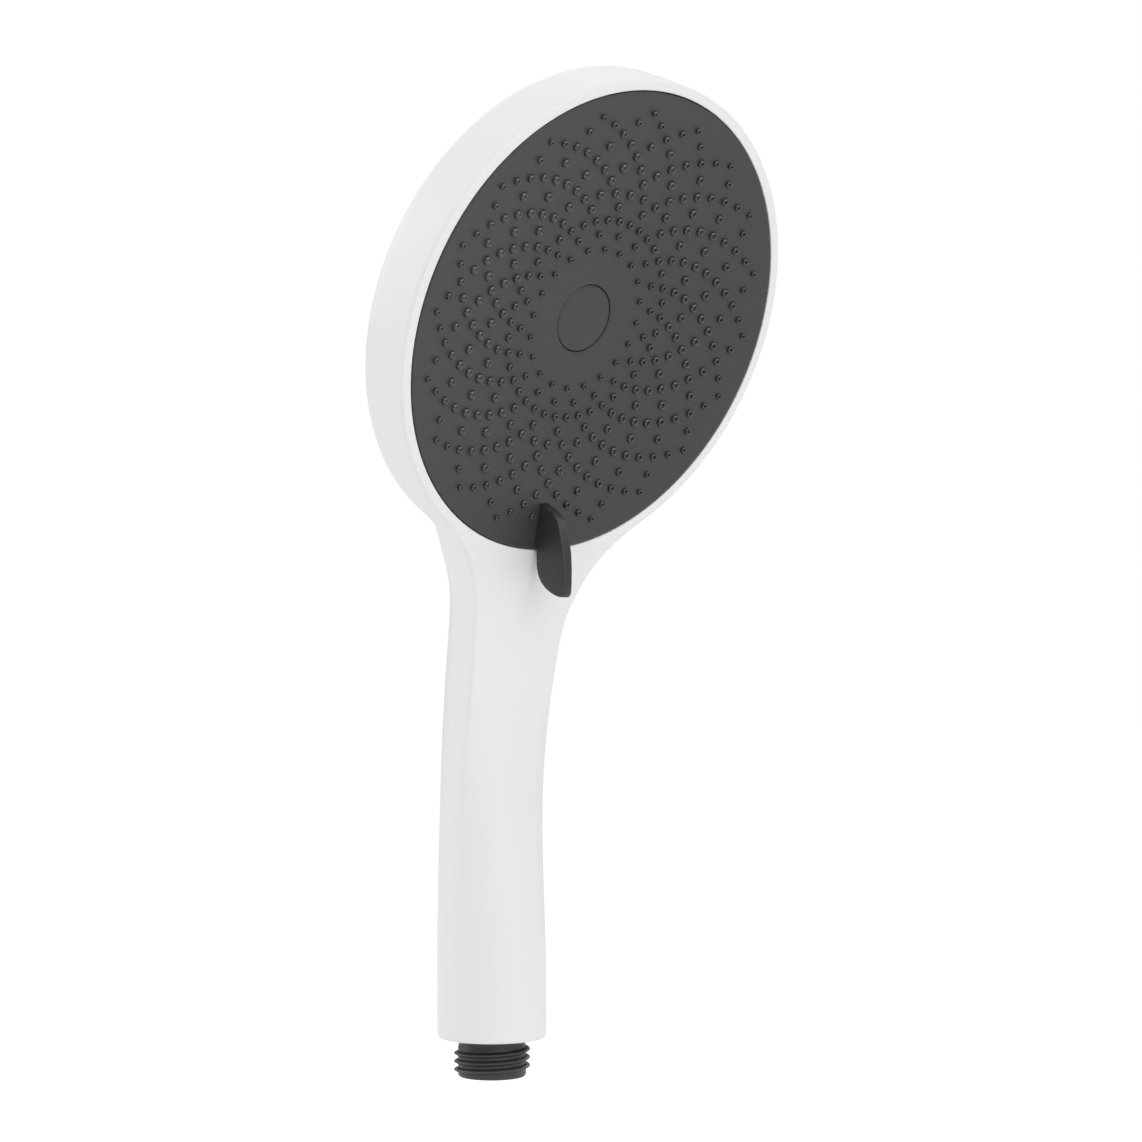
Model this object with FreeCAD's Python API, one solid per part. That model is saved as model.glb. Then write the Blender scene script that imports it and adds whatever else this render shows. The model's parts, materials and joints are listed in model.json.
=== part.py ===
import FreeCAD, Part
import math
import os

# Handheld shower head with a turning spray face.  Millimetres.
# +Z runs up the handle, the spray side faces -Y, and the origin is the centre of the
# threaded inlet's end face.  Head pieces are drawn in a head frame of their own: its
# origin is the centre of the face, its Z axis leaves the face, its Y axis points up the
# face, and every depth behind the face is a negative Z.

Vector = FreeCAD.Vector

# Layout
face_tilt = 21.3              # lean of the face from the handle's axis, degrees
face_reach = 41.3             # handle axis to the centre of the face
face_height = 203.9           # end of the inlet to the centre of the face

# Head casing
head_radius = 67.0            # at the front rim
head_back_radius = 66.6       # at the back of the side band, which tapers for the mould
head_edge_depth = 17.0        # front rim to the back edge
head_depth = 25.0             # front rim to the middle of the domed back
rim_round = 0.7
back_round = 2.4
casing_wall = 2.4
seat_radius = 64.0            # opening that the spray face turns in

# Handle casing
handle_foot = 10.6            # height of the handle's lower end
handle_wall = 2.6
foot_chamfer = 0.8

# Spray face
plate_gap = 0.3               # running gap round the face
plate_wall = 2.0
dish_depth = 6.2              # how far the middle of the face lies behind its edge
skirt_depth = 9.0
skirt_wall = 2.2
cap_radius = 9.3
cap_thickness = 1.2
cap_gap = 0.15
cap_boss_wall = 2.0
cap_ledge = 1.0
cap_height = 2.8

# Nozzles: rings of 20 or 40, each a soft cone that stands out of the face
nozzle_sectors = 20
nozzle_rings = 12
first_ring = 19.5
ring_step = 4.17
ring_shrink = 0.0616          # each step is shorter than the one before by twice this
nozzle_radius = 1.35
nozzle_least = 0.62           # share of that radius on the innermost and outermost rings
nozzle_height = 1.1
nozzle_sunk = 0.4
nozzle_tip = 0.65             # tip radius over base radius

# Rotor, the chamber plate that carries the face
rotor_back = 13.0
rotor_wall = 2.6
rotor_gap = 0.3               # rotor to skirt
divider_radii = (33.3, 40.5)
divider_wall = 1.4
mat_wall = 1.0
mat_gap = 0.15
piece_gap = 0.1               # between pieces that are fastened together
port_radius = 14.0            # pitch radius of the rotor's ports
port_bore = 2.6
spray_step = 30.0             # turn from one spray to the next, degrees
passage_ends = (42.5, 36.0)   # where the side ports' passages open, from the centre
seal_section = 1.4

# Screws
plate_screw_circle = 45.0
plate_screw_count = 6
screw_shank = 1.25
screw_head = 2.6
screw_head_height = 1.3
screw_boss = 2.8
rear_screw_length = 5.6

# Manifold, the fixed distributor behind the rotor
face_clearance = 0.3          # rotor to manifold
manifold_radius = 26.0
manifold_back = 17.0
seal_radius = 22.0            # outside of the ring seal round the pivot and pockets
lug_circle = 31.0
lug_radius = 4.2
lug_step = 0.3                # lugs lie behind the manifold's face by this
pivot_radius = 5.0
pivot_running = 0.05
pivot_rise = 0.2              # pivot past the rotor's hub
duct_width = 14.0
duct_wall = 1.8
duct_front = 13.9
duct_back = 19.6
duct_roof = 16.4              # depth of the channel's front wall
duct_start = 70.0             # below the pivot, over the tube's end
duct_end = 19.0               # past the pivot, on the side away from the handle
cover_wall = 1.2
washer_radius = 7.6
washer_thickness = 1.0
centre_shank = 1.5
centre_head = 3.4
centre_head_height = 1.6
centre_thread = 3.6
seal_cup_height = 1.1
seal_pocket_depth = 2.2
ball_radius = 1.4
ball_pocket_depth = 5.0
ball_boss = 2.8
spring_wire = 0.6

# Waterway
tube_radius = 5.0
tube_bore = 3.8
tube_depth = 10.2             # the tube's axis behind the face, beside the head
tube_bend = 16.0
tube_top = 68.6               # below the centre of the face, along the face
socket_wall = 1.5
socket_gap = 0.1
socket_length = 12.4
socket_lip = 0.5
ring_section = 1.3
ring_squeeze = 0.05
tube_groove_depth = 0.8
lower_groove = 3.2            # below the collar's top
upper_groove = 3.4            # from the tube's end in the head

# Inlet
thread_radius = 10.48         # G1/2
thread_length = 8.4
neck_radius = 9.2
collar_radius = 12.0
collar_gap = 0.05
collar_recess = 0.3
collar_top = 22.0
collar_groove = 16.7          # height of the ring groove's middle
collar_groove_depth = 1.1
collar_groove_width = 1.6
tube_seat = 7.0               # depth of the tube's socket in the collar
inlet_bore = 7.2
inlet_bore_length = 4.4
filter_radius = 6.9           # its seat is a step narrower than the bore
filter_thickness = 1.0
filter_rim = 1.2
filter_bars = 3
filter_bar_width = 0.8
filter_bar_height = 0.6
limiter_radius = 5.8
limiter_bore = 1.6
limiter_length = 3.0
limiter_gap = 0.2
limiter_groove_depth = 0.9
limiter_groove_width = 1.2

# Lever
lever_width = 3.4
lever_round = 0.8
lever_inner = 51.3            # from the centre of the face
lever_outer = 62.6
lever_shoulder = 5.8          # height where the ridge starts
lever_tip = 14.7              # height of the tip
lever_reach = 72.4            # furthest point from the centre of the face
lever_lift = 0.12
lever_lip = 1.1               # height at which the underside passes over the casing's rim
foot_inner = 51.9
foot_outer = 57.9
foot_width = 2.6


# Sections of the handle.  A section is the widest half width, then the depths (+Y is
# back) of the front's middle, of the soft corner between front and side, of the widest
# place, and of the back, and how full the back's corners are: 2 is an ellipse.
handle_sections = (
    (handle_foot, 15.05, -15.05, -3.1, 0.0, 15.05, 2.0),
    (30.0, 15.05, -15.0, -3.1, 0.05, 15.1, 2.0),
    (46.0, 15.1, -14.2, -3.2, 0.2, 14.9, 2.0),
    (62.0, 15.2, -13.0, -3.6, 0.0, 14.0, 2.0),
    (76.0, 15.3, -11.9, -4.4, -1.0, 13.5, 2.0),
    (90.0, 15.3, -11.3, -5.7, -2.5, 13.1, 2.05),
    (105.0, 15.35, -11.5, -7.9, -5.0, 11.9, 2.15),
)
# The same for the neck, at distances below the centre of the face, measured along it
neck_sections = (
    (88.0, 16.6, -3.7, -1.45, 2.6, 18.4, 2.2),
    (79.0, 18.45, -1.8, -0.6, 3.0, 20.6, 2.35),
    (70.0, 22.3, -0.5, -0.3, 4.0, 23.0, 2.7),
    (62.0, 28.4, -0.25, -0.15, 4.0, 23.8, 2.6),
    (54.0, 35.6, -0.2, -0.12, 4.0, 23.8, 2.3),
    (45.0, 37.4, -0.2, -0.12, 4.0, 23.2, 2.1),
    (36.0, 38.0, -0.2, -0.12, 4.0, 22.2, 2.0),
)
section_points = 13


def head_frame():
    """Placement that carries a head-frame shape into the part's frame."""
    turn = FreeCAD.Rotation(Vector(1, 0, 0), 90 + face_tilt)
    return FreeCAD.Placement(Vector(0, -face_reach, face_height), turn)


def in_head(shape):
    placed = shape.copy()
    placed.Placement = head_frame().multiply(shape.Placement)
    return placed


def turned(edges):
    """Solid turned about Z from a closed profile in the XZ plane."""
    face = Part.Face(Part.Wire(edges))
    return face.revolve(Vector(0, 0, 0), Vector(0, 0, 1), 360)


def lines(*points):
    """Straight edges through (radius, height) points."""
    spots = [Vector(r, 0, z) for r, z in points]
    return [Part.LineSegment(a, b).toShape() for a, b in zip(spots, spots[1:])]


def arc(start, middle, end):
    spots = [Vector(r, 0, z) for r, z in (start, middle, end)]
    return Part.Arc(*spots).toShape()


def ring(outer, inner, low, high):
    return turned(lines((inner, low), (outer, low), (outer, high), (inner, high), (inner, low)))


def disc(radius, low, high, x=0.0, y=0.0):
    return Part.makeCylinder(radius, high - low, Vector(x, y, low))


def block(width, y_low, y_high, low, high):
    return Part.makeBox(width, y_high - y_low, high - low, Vector(-width / 2, y_low, low))


def polar(radius, degrees):
    angle = math.radians(degrees)
    return radius * math.cos(angle), radius * math.sin(angle)


def joined(first, *others):
    return first.multiFuse(list(others)).removeSplitter()


def drilled(shape, *tools):
    for tool in tools:
        shape = shape.cut(tool)
    return shape


def round_edges(shape, radius, at_radius, at_height):
    """Fillets the circular edges about Z with this radius and height."""
    circles = [edge for edge in shape.Edges
               if not edge.Degenerated and edge.Curve.TypeId == "Part::GeomCircle"]
    found = [edge for edge in circles
             if abs(edge.Curve.Radius - at_radius) < 1e-6
             and abs(edge.Curve.Center.z - at_height) < 1e-6]
    return shape.makeFillet(radius, found)


# --- Casing -----------------------------------------------------------------------

def section_wire(place, half_width, front, corner, widest, back, fullness, inset=0.0):
    """D-shaped section: a shallow front arc, two corners, and a full round back."""
    half_width -= inset
    front += inset
    back -= inset
    corner += inset / 2
    depth = back - widest
    power = 2 / fullness

    def back_point(angle):
        across = abs(math.cos(angle)) ** power * math.copysign(1, math.cos(angle))
        along = abs(math.sin(angle)) ** power * math.copysign(1, math.sin(angle))
        return Vector(half_width * across, widest + depth * along, 0)

    corner_angle = -math.asin(((widest - corner) / depth) ** (1 / power))
    span = math.pi - 2 * corner_angle
    angles = [corner_angle + span * i / (section_points - 1) for i in range(section_points)]
    points = [back_point(angle) for angle in angles]
    curve = Part.BSplineCurve()
    curve.interpolate(points)
    front_arc = Part.Arc(points[-1], Vector(0, front, 0), points[0])
    wire = Part.Wire([front_arc.toShape(), curve.toShape()])
    wire.Placement = place
    return wire


def upright(height):
    return FreeCAD.Placement(Vector(0, 0, height), FreeCAD.Rotation())


def handle_loft(inset, first_height):
    wires = []
    for height, *sizes in handle_sections:
        wires.append(section_wire(upright(max(height, first_height)), *sizes, inset))
    tilt = FreeCAD.Rotation(Vector(1, 0, 0), face_tilt)
    for below, *sizes in neck_sections:
        place = FreeCAD.Placement(head_frame().multVec(Vector(0, -below, 0)), tilt)
        wires.append(section_wire(place, *sizes, inset))
    return Part.makeLoft(wires, True, False)


def dome_height(radius, inset=0.0):
    """Height of the domed back at a radius; the dome is an arc from edge to edge."""
    rise = head_depth - head_edge_depth
    sphere = (head_back_radius ** 2 + rise ** 2) / (2 * rise)
    return sphere - head_depth - math.sqrt((sphere - inset) ** 2 - radius ** 2)


def head_blank():
    edge = head_back_radius
    profile = lines((0, -head_depth), (0, 0), (head_radius, 0), (edge, -head_edge_depth))
    profile.append(arc((edge, -head_edge_depth), (edge / 2, dome_height(edge / 2)), (0, -head_depth)))
    blank = turned(profile)
    blank = round_edges(blank, rim_round, head_radius, 0)
    return round_edges(blank, back_round, edge, -head_edge_depth)


def head_hollow():
    inner = seat_radius
    top = casing_wall
    low = dome_height(inner, casing_wall)
    profile = lines((0, -head_depth + casing_wall), (0, top), (inner, top), (inner, low))
    middle = (inner / 2, dome_height(inner / 2, casing_wall))
    profile.append(arc((inner, low), middle, (0, -head_depth + casing_wall)))
    return turned(profile)


def lug_places():
    return [polar(lug_circle, degrees) for degrees in (90, 210, 330)]


def foot_trim():
    """Cone that chamfers the handle's round lower end."""
    radius = handle_sections[0][1]
    low = handle_foot - foot_chamfer
    inner, outer = radius - 2 * foot_chamfer, radius + foot_chamfer
    return turned(lines((inner, low), (outer, low), (outer, low + 3 * foot_chamfer), (inner, low)))


def handset_shell():
    """Head and handle are hollowed first and joined afterwards, as one moulding."""
    hollow = in_head(head_hollow())
    cavity = handle_loft(handle_wall, collar_top)
    bore = disc(collar_radius + collar_gap, handle_foot - 1, collar_top + 1)
    handle = handle_loft(0.0, handle_foot)
    handle = drilled(handle, foot_trim(), hollow, cavity, bore)
    head = drilled(in_head(head_blank()), hollow, cavity)
    shell = handle.fuse(head)
    bosses = []
    holes = []
    for x, y in lug_places():
        boss_low = dome_height(lug_circle) + casing_wall / 2
        bosses.append(in_head(disc(lug_radius, boss_low, -manifold_back, x, y)))
        holes.append(in_head(disc(screw_shank, boss_low + 0.2, -manifold_back + 1, x, y)))
    return drilled(shell.fuse(bosses), *holes)


# --- Spray face -------------------------------------------------------------------

plate_radius = seat_radius - plate_gap
dish_sphere = (plate_radius ** 2 + dish_depth ** 2) / (2 * dish_depth)


def dish_height(radius, behind=0.0):
    """Height of the dished face at a radius, or of a surface behind it."""
    return dish_sphere - dish_depth - math.sqrt((dish_sphere + behind) ** 2 - radius ** 2)


def dish_arc(inner, outer, behind=0.0):
    middle = (inner + outer) / 2
    spots = [(r, dish_height(r, behind)) for r in (inner, middle, outer)]
    return arc(*spots)


def nozzle_places():
    """(radius on the face, angle, base radius) of every nozzle."""
    places = []
    for ring_number in range(nozzle_rings):
        radius = first_ring + ring_step * ring_number - ring_shrink * ring_number ** 2
        double = ring_number > 0 and ring_number % 2 == 0
        pitch = 360 / nozzle_sectors
        offset = pitch / 4 if double else (pitch / 2 if ring_number % 4 == 1 else 0)
        count = nozzle_sectors * (2 if double else 1)
        swell = math.sin(math.pi * ring_number / (nozzle_rings - 1))
        base = nozzle_radius * (nozzle_least + (1 - nozzle_least) * swell)
        for number in range(count):
            angle = 90 + offset + number * 360 / count
            x, y = polar(radius, angle)
            under_lever = abs(x) < lever_width / 2 + base and -lever_outer < y < -lever_inner
            if not under_lever:
                places.append((x, y, radius, base))
    return places


def nozzle(x, y, radius, base):
    """Blunt cone square to the dished face, with its foot sunk in the plate."""
    foot = Vector(x, y, dish_height(radius))
    out = (Vector(0, 0, dish_sphere - dish_depth) - foot).normalize()
    low = foot - out * nozzle_sunk
    return Part.makeCone(base, base * nozzle_tip, nozzle_height + nozzle_sunk, low, out)


def screw_places():
    start = 180 / plate_screw_count
    return [polar(plate_screw_circle, start + 360 * i / plate_screw_count)
            for i in range(plate_screw_count)]


def lever_screw_place():
    return 0.0, -(foot_inner + foot_outer) / 2


def foot_slot(gap, low, high):
    return block(foot_width + 2 * gap, -foot_outer - gap, -foot_inner + gap, low, high)


def spray_plate():
    hole = cap_radius + cap_gap
    boss = hole + cap_boss_wall
    inner_skirt = plate_radius - skirt_wall
    rotor_front = rotor_wall - rotor_back
    profile = [dish_arc(hole, plate_radius)]
    profile += lines((plate_radius, dish_height(plate_radius)), (plate_radius, -skirt_depth),
                     (inner_skirt, -skirt_depth), (inner_skirt, dish_height(inner_skirt, plate_wall)))
    profile.append(dish_arc(inner_skirt, boss, plate_wall))
    profile += lines((boss, dish_height(boss, plate_wall)), (boss, rotor_front),
                     (hole, rotor_front), (hole, dish_height(hole)))
    plate = turned(profile)
    additions = [ring(hole + 0.5, hole - cap_ledge, rotor_front, -dish_depth - cap_height - piece_gap)]
    for x, y in screw_places():
        top = dish_height(plate_screw_circle) - plate_wall / 2
        additions.append(disc(screw_boss, rotor_front, top, x, y))
    plate = plate.fuse(additions)
    for x, y in screw_places():
        plate = plate.cut(disc(screw_shank, rotor_front - 1, rotor_front + 4, x, y))
    plate = plate.cut(foot_slot(piece_gap, -skirt_depth, 1))
    return plate.fuse([nozzle(*place) for place in nozzle_places()])


def nozzle_mat():
    """Silicone sheet behind the face, which carries the soft nozzles' roots."""
    inner = cap_radius + cap_gap + cap_boss_wall + piece_gap
    outer = plate_radius - skirt_wall - rotor_gap
    front = plate_wall + mat_gap
    back = front + mat_wall
    profile = [dish_arc(inner, outer, front)]
    profile += lines((outer, dish_height(outer, front)), (outer, dish_height(outer, back)))
    profile.append(dish_arc(outer, inner, back))
    profile += lines((inner, dish_height(inner, back)), (inner, dish_height(inner, front)))
    mat = turned(profile)
    holes = [disc(screw_boss + piece_gap, -rotor_back, 0, x, y) for x, y in screw_places()]
    return drilled(mat, *holes, foot_slot(2 * piece_gap, -rotor_back, 0))


def passage(turn, reach, half_width, low):
    """Long slot that leads from a side port outward, its round end round the port."""
    x, y = polar(port_radius, 90 + turn)
    slot = block(2 * half_width, port_radius, reach, low, 0)
    slot.rotate(Vector(0, 0, 0), Vector(0, 0, 1), turn)
    return slot.fuse(disc(half_width, low, 0, x, y))


def rotor():
    """Chamber plate: the dividers keep the sprays apart, the ports feed one at a time."""
    outer = plate_radius - skirt_wall - rotor_gap
    front = rotor_wall - rotor_back - piece_gap
    bore = pivot_radius + pivot_running
    body = ring(outer, bore, -rotor_back, front)
    edge_wall = outer - seal_section - divider_wall / 2
    for middle in divider_radii + (edge_wall,):
        body = body.fuse(ring(middle + divider_wall / 2, middle - divider_wall / 2, front - 1, 0))
    side_ports = list(zip((-spray_step, spray_step), passage_ends))
    for turn, reach in side_ports:
        body = body.fuse(passage(turn, reach, port_bore + divider_wall, front - 1))
    for turn, reach in side_ports:
        body = body.cut(passage(turn, reach + 1, port_bore, front))
    behind = plate_wall + mat_wall + 2 * mat_gap
    above = [dish_arc(0, outer, behind)]
    above += lines((outer, dish_height(outer, behind)), (outer, 1), (0, 1), (0, dish_height(0, behind)))
    body = body.cut(turned(above))
    body = body.cut(disc(cap_radius + cap_gap + cap_boss_wall + piece_gap, front, 0))
    for x, y in screw_places():
        body = body.cut(disc(screw_shank + piece_gap, -rotor_back - 1, 0, x, y))
        body = body.cut(disc(screw_boss + piece_gap, front, 0, x, y))
    head_places = screw_places() + [lever_screw_place()]
    for x, y in head_places:
        seat = screw_head_height + piece_gap - rotor_back
        body = body.cut(disc(screw_head + piece_gap, -rotor_back - 1, seat, x, y))
    for turn in (-spray_step, 0, spray_step):
        x, y = polar(port_radius, 90 + turn)
        body = body.cut(disc(port_bore, -rotor_back - 1, front + 1, x, y))
    x, y = lever_screw_place()
    return body.cut(disc(screw_shank + piece_gap, -rotor_back - 1, 0, x, y))


def chamber_seal():
    """Soft ring between the rotor's edge wall and the face's skirt."""
    skirt = plate_radius - skirt_wall
    outer = skirt - ring_squeeze
    inner = skirt - rotor_gap - seal_section + ring_squeeze
    front = rotor_wall - rotor_back
    return ring(outer, inner, front, front + seal_section)


def rear_screw(x, y, head_low, length):
    """Pan screw that enters from behind, along +Z."""
    head = disc(screw_head, head_low, head_low + screw_head_height, x, y)
    return head.fuse(disc(screw_shank - piece_gap / 2, head_low, head_low + length, x, y))


def plate_screws():
    screws = [rear_screw(x, y, -rotor_back, rear_screw_length) for x, y in screw_places()]
    return Part.makeCompound(screws)


def lever_screw():
    return rear_screw(*lever_screw_place(), -rotor_back, rear_screw_length)


def centre_cap():
    front = -dish_depth
    behind = front - cap_thickness
    wall = ring(cap_radius - piece_gap, cap_radius - cap_thickness, front - cap_height, behind)
    return disc(cap_radius, behind, front).fuse(wall)


def mode_lever():
    """Tall thin fin: a steep inner end, a ridge that climbs outward, an undercut tip."""
    def spot(out, height):
        return Vector(0, -out, height)

    base_in = spot(lever_inner, dish_height(lever_inner) + lever_lift)
    base_out = spot(lever_outer, dish_height(lever_outer) + lever_lift)
    shoulder = spot(lever_inner + 1.6, lever_shoulder)
    steep = spot(lever_inner + 0.4, (lever_shoulder - dish_depth / 3) / 2)
    ridge = spot((lever_inner + lever_reach) / 2 - 0.9, lever_tip - 4.0)
    crest = spot(lever_reach - 2.2, lever_tip)
    nose = spot(lever_reach - 0.5, lever_tip - 0.6)
    tip = spot(lever_reach, lever_tip - 2.2)
    belly = spot(lever_reach - 0.6, lever_tip - 7.6)
    heel = spot(lever_reach - 4.0, lever_tip - 12.0)
    lip = spot(lever_outer + 2.6, lever_lip)
    under = Part.BSplineCurve()
    under.interpolate(Points=[tip, belly, heel, lip, base_out])
    edges = [Part.LineSegment(base_out, base_in).toShape(),
             Part.Arc(base_in, steep, shoulder).toShape(),
             Part.Arc(shoulder, ridge, crest).toShape(),
             Part.Arc(crest, nose, tip).toShape(),
             under.toShape()]
    half = Vector(lever_width / 2, 0, 0)
    blade = Part.Face(Part.Wire(edges)).extrude(half * 2)
    blade.translate(half * -1)
    sides = [edge for edge in blade.Edges
             if abs(abs(edge.CenterOfMass.x) - lever_width / 2) < 1e-6
             and edge.BoundBox.ZMax > dish_height(lever_outer) + lever_lift + 0.01]
    blade = blade.makeFillet(lever_round, sides)
    front = rotor_wall - rotor_back
    foot = foot_slot(0, front, dish_height(foot_outer) + lever_lift + 1)
    hole = disc(screw_shank, front - 1, front + 4, *lever_screw_place())
    return joined(blade, foot).cut(hole)


# --- Fixed distributor ------------------------------------------------------------

manifold_front = -rotor_back - face_clearance
pivot_top = rotor_wall - rotor_back - piece_gap + pivot_rise


def tube_axis_point(below):
    return Vector(0, -below, -tube_depth)


def socket(radius, low, high):
    """Cylinder along the face, on the tube's axis, between two distances below centre."""
    return Part.makeCylinder(radius, high - low, tube_axis_point(high), Vector(0, 1, 0))


seal_place = polar(port_radius, 90)
ball_place = polar(port_radius, 0)


def duct_block(inset, low, high):
    return block(duct_width - 2 * inset, inset - duct_start, duct_end - inset, low, high)


def manifold():
    top = manifold_front - lug_step
    body = disc(manifold_radius, -manifold_back, manifold_front)
    body = body.fuse(disc(pivot_radius, -manifold_back, pivot_top))
    body = body.fuse(disc(ball_boss, -duct_back, manifold_front, *ball_place))
    for x, y in lug_places():
        arm = block(2 * lug_radius, manifold_radius - 4, lug_circle, -manifold_back, top)
        arm.rotate(Vector(0, 0, 0), Vector(0, 0, 1), math.degrees(math.atan2(y, x)) - 90)
        body = body.fuse(arm).fuse(disc(lug_radius, -manifold_back, top, x, y))
    socket_radius = tube_radius + socket_gap + socket_wall
    mouth = tube_top + socket_length - 2
    step_end = seat_radius + plate_gap
    step = block(2 * socket_radius, -duct_start, -step_end, duct_wall - duct_back, -tube_depth)
    body = body.fuse(duct_block(0, -duct_back, -duct_front))
    body = joined(body, step, socket(socket_radius, step_end, mouth))
    rise = block(2 * tube_bore, -tube_top - 0.5, -step_end - socket_wall, -duct_roof - 1, -tube_depth)
    body = drilled(body, duct_block(duct_wall, -duct_back - 1, -duct_roof),
                   duct_block(duct_wall / 2, -duct_back - 1, cover_wall - duct_back),
                   socket(tube_radius + socket_gap, tube_top, mouth + 1), rise,
                   disc(port_bore + 0.8, manifold_front - seal_pocket_depth, 0, *seal_place),
                   disc(port_bore - 0.6, -duct_back + 2, 0, *seal_place),
                   disc(ball_radius + 0.2, manifold_front - ball_pocket_depth, 0, *ball_place),
                   ring(seal_radius, seal_radius - seal_section - 2 * piece_gap,
                        manifold_front - seal_section, 0),
                   disc(centre_shank, pivot_top - centre_thread, pivot_top + 1))
    for x, y in lug_places():
        body = body.cut(disc(screw_shank + piece_gap, -manifold_back - 1, 0, x, y))
        body = body.cut(disc(screw_head + piece_gap, top - screw_head_height - piece_gap, 0, x, y))
    return body


def manifold_cover():
    return duct_block(duct_wall / 2 + piece_gap, -duct_back, cover_wall - piece_gap - duct_back)


def manifold_screws():
    screws = []
    top = manifold_front - lug_step - piece_gap
    for x, y in lug_places():
        head = disc(screw_head, top - screw_head_height, top, x, y)
        shank = disc(screw_shank - piece_gap / 2, -manifold_back - 2.4, top, x, y)
        screws.append(head.fuse(shank))
    return Part.makeCompound(screws)


def port_seal():
    low = manifold_front - seal_cup_height
    cup = disc(port_bore + 0.7, low, manifold_front, *seal_place)
    return cup.cut(disc(port_bore - 0.6, low - 1, 0, *seal_place))


def spring(outer, low, high, place):
    coil = ring(outer, outer - spring_wire, low, high)
    coil.translate(Vector(*place, 0))
    return coil


def port_spring():
    floor = manifold_front - seal_pocket_depth
    top = manifold_front - seal_cup_height
    return spring(port_bore + 0.6, floor + ring_squeeze, top - ring_squeeze, seal_place)


def detent_ball():
    return Part.makeSphere(ball_radius, Vector(*ball_place, manifold_front - ball_radius))


def detent_spring():
    """Stands on the pocket's floor; the ball rests in its upper end."""
    floor = manifold_front - ball_pocket_depth
    inner = ball_radius - spring_wire
    rest = manifold_front - ball_radius - math.sqrt(ball_radius ** 2 - inner ** 2)
    return spring(ball_radius, floor + ring_squeeze, rest - ring_squeeze, ball_place)


def rotor_seal():
    outer = seal_radius - piece_gap
    return ring(outer, outer - seal_section, manifold_front - seal_section + piece_gap, manifold_front)


def centre_washer():
    return ring(washer_radius, centre_shank + piece_gap, pivot_top, pivot_top + washer_thickness)


def centre_screw():
    low = pivot_top + washer_thickness
    head = disc(centre_head, low, low + centre_head_height)
    shank = disc(centre_shank - piece_gap / 2, pivot_top - centre_thread + 0.3, low)
    socket_hole = disc(1.2, low + centre_head_height - 1.2, low + centre_head_height + 1)
    return head.fuse(shank).cut(socket_hole)


# --- Waterway ---------------------------------------------------------------------

def tube_path(low):
    """Up the handle's axis, round one bend, and on along the back of the face."""
    top = head_frame().multVec(tube_axis_point(tube_top + 0.2))
    along = head_frame().Rotation.multVec(Vector(0, 1, 0))
    knee = top - along * (top.y / along.y)
    setback = tube_bend * math.tan(math.radians(face_tilt) / 2)
    start = Vector(0, 0, knee.z - setback)
    end = knee + along * setback
    inward = Vector(0, -1, 0) * tube_bend
    half = math.radians(face_tilt) / 2
    middle = start + inward + Vector(0, math.cos(half), math.sin(half)) * tube_bend
    edges = [Part.LineSegment(Vector(0, 0, low), start).toShape(),
             Part.Arc(start, middle, end).toShape(),
             Part.LineSegment(end, top).toShape()]
    return Part.Wire(edges)


def tube_groove_places():
    lower = Vector(0, 0, collar_top - lower_groove)
    upper = head_frame().multVec(tube_axis_point(tube_top + upper_groove))
    along = head_frame().Rotation.multVec(Vector(0, 1, 0))
    return (lower, Vector(0, 0, 1)), (upper, along)


def ring_at(outer, inner, place, width):
    centre, along = place
    base = centre - along * (width / 2)
    return Part.makeCylinder(outer, width, base, along).cut(Part.makeCylinder(inner, width, base, along))


def swept(radius, low):
    path = tube_path(low)
    circle = Part.Wire(Part.Circle(Vector(0, 0, low), Vector(0, 0, 1), radius).toShape())
    return path.makePipeShell([circle], True, False)


def waterway_tube():
    low = collar_top - tube_seat + 2 * piece_gap
    tube = swept(tube_radius, low).cut(swept(tube_bore, low))
    floor = tube_radius - tube_groove_depth
    for place in tube_groove_places():
        tube = tube.cut(ring_at(tube_radius + 1, floor, place, ring_section + 2 * piece_gap))
    return tube


def tube_o_ring(place):
    outer = tube_radius + socket_gap - ring_squeeze
    return ring_at(outer, tube_radius - tube_groove_depth + ring_squeeze, place, ring_section)


def inlet_spigot():
    """Threaded inlet, drawn at its crest radius, with the collar that the handle holds."""
    collar_low = handle_foot + collar_recess
    body = disc(thread_radius, 0, thread_length).fuse(disc(neck_radius, thread_length, collar_low))
    body = joined(body, disc(collar_radius, collar_low, collar_top))
    half = collar_groove_width / 2
    floor = collar_radius - collar_groove_depth
    groove = ring(collar_radius + 1, floor, collar_groove - half, collar_groove + half)
    limiter_low = inlet_bore_length + filter_thickness
    body = drilled(body, groove, disc(inlet_bore, -1, inlet_bore_length),
                   disc(filter_radius + piece_gap, 0, limiter_low),
                   disc(limiter_radius + limiter_gap, 0, limiter_low + limiter_length + limiter_gap),
                   disc(tube_bore, 0, collar_top),
                   disc(tube_radius + socket_gap, collar_top - tube_seat, collar_top + 1))
    return body


def spigot_o_ring():
    half = collar_groove_width / 2 - piece_gap
    inner = collar_radius - collar_groove_depth + piece_gap
    return ring(collar_radius, inner, collar_groove - half, collar_groove + half)


def inlet_filter():
    """Strainer: a rim and two layers of bars across it."""
    radius = filter_radius
    low = inlet_bore_length + piece_gap
    rim = ring(radius, radius - filter_rim, low, low + filter_thickness - 2 * piece_gap)
    bars = []
    for turn in (0, 90):
        for number in range(filter_bars):
            across = (number - (filter_bars - 1) / 2) * 2 * radius / (filter_bars + 1)
            half = math.sqrt((radius - filter_rim / 2) ** 2 - across ** 2)
            corner = Vector(-half, across - filter_bar_width / 2, low + piece_gap)
            bar = Part.makeBox(2 * half, filter_bar_width, filter_bar_height, corner)
            bar.rotate(Vector(0, 0, 0), Vector(0, 0, 1), turn)
            bars.append(bar)
    return joined(rim, *bars)


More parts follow.
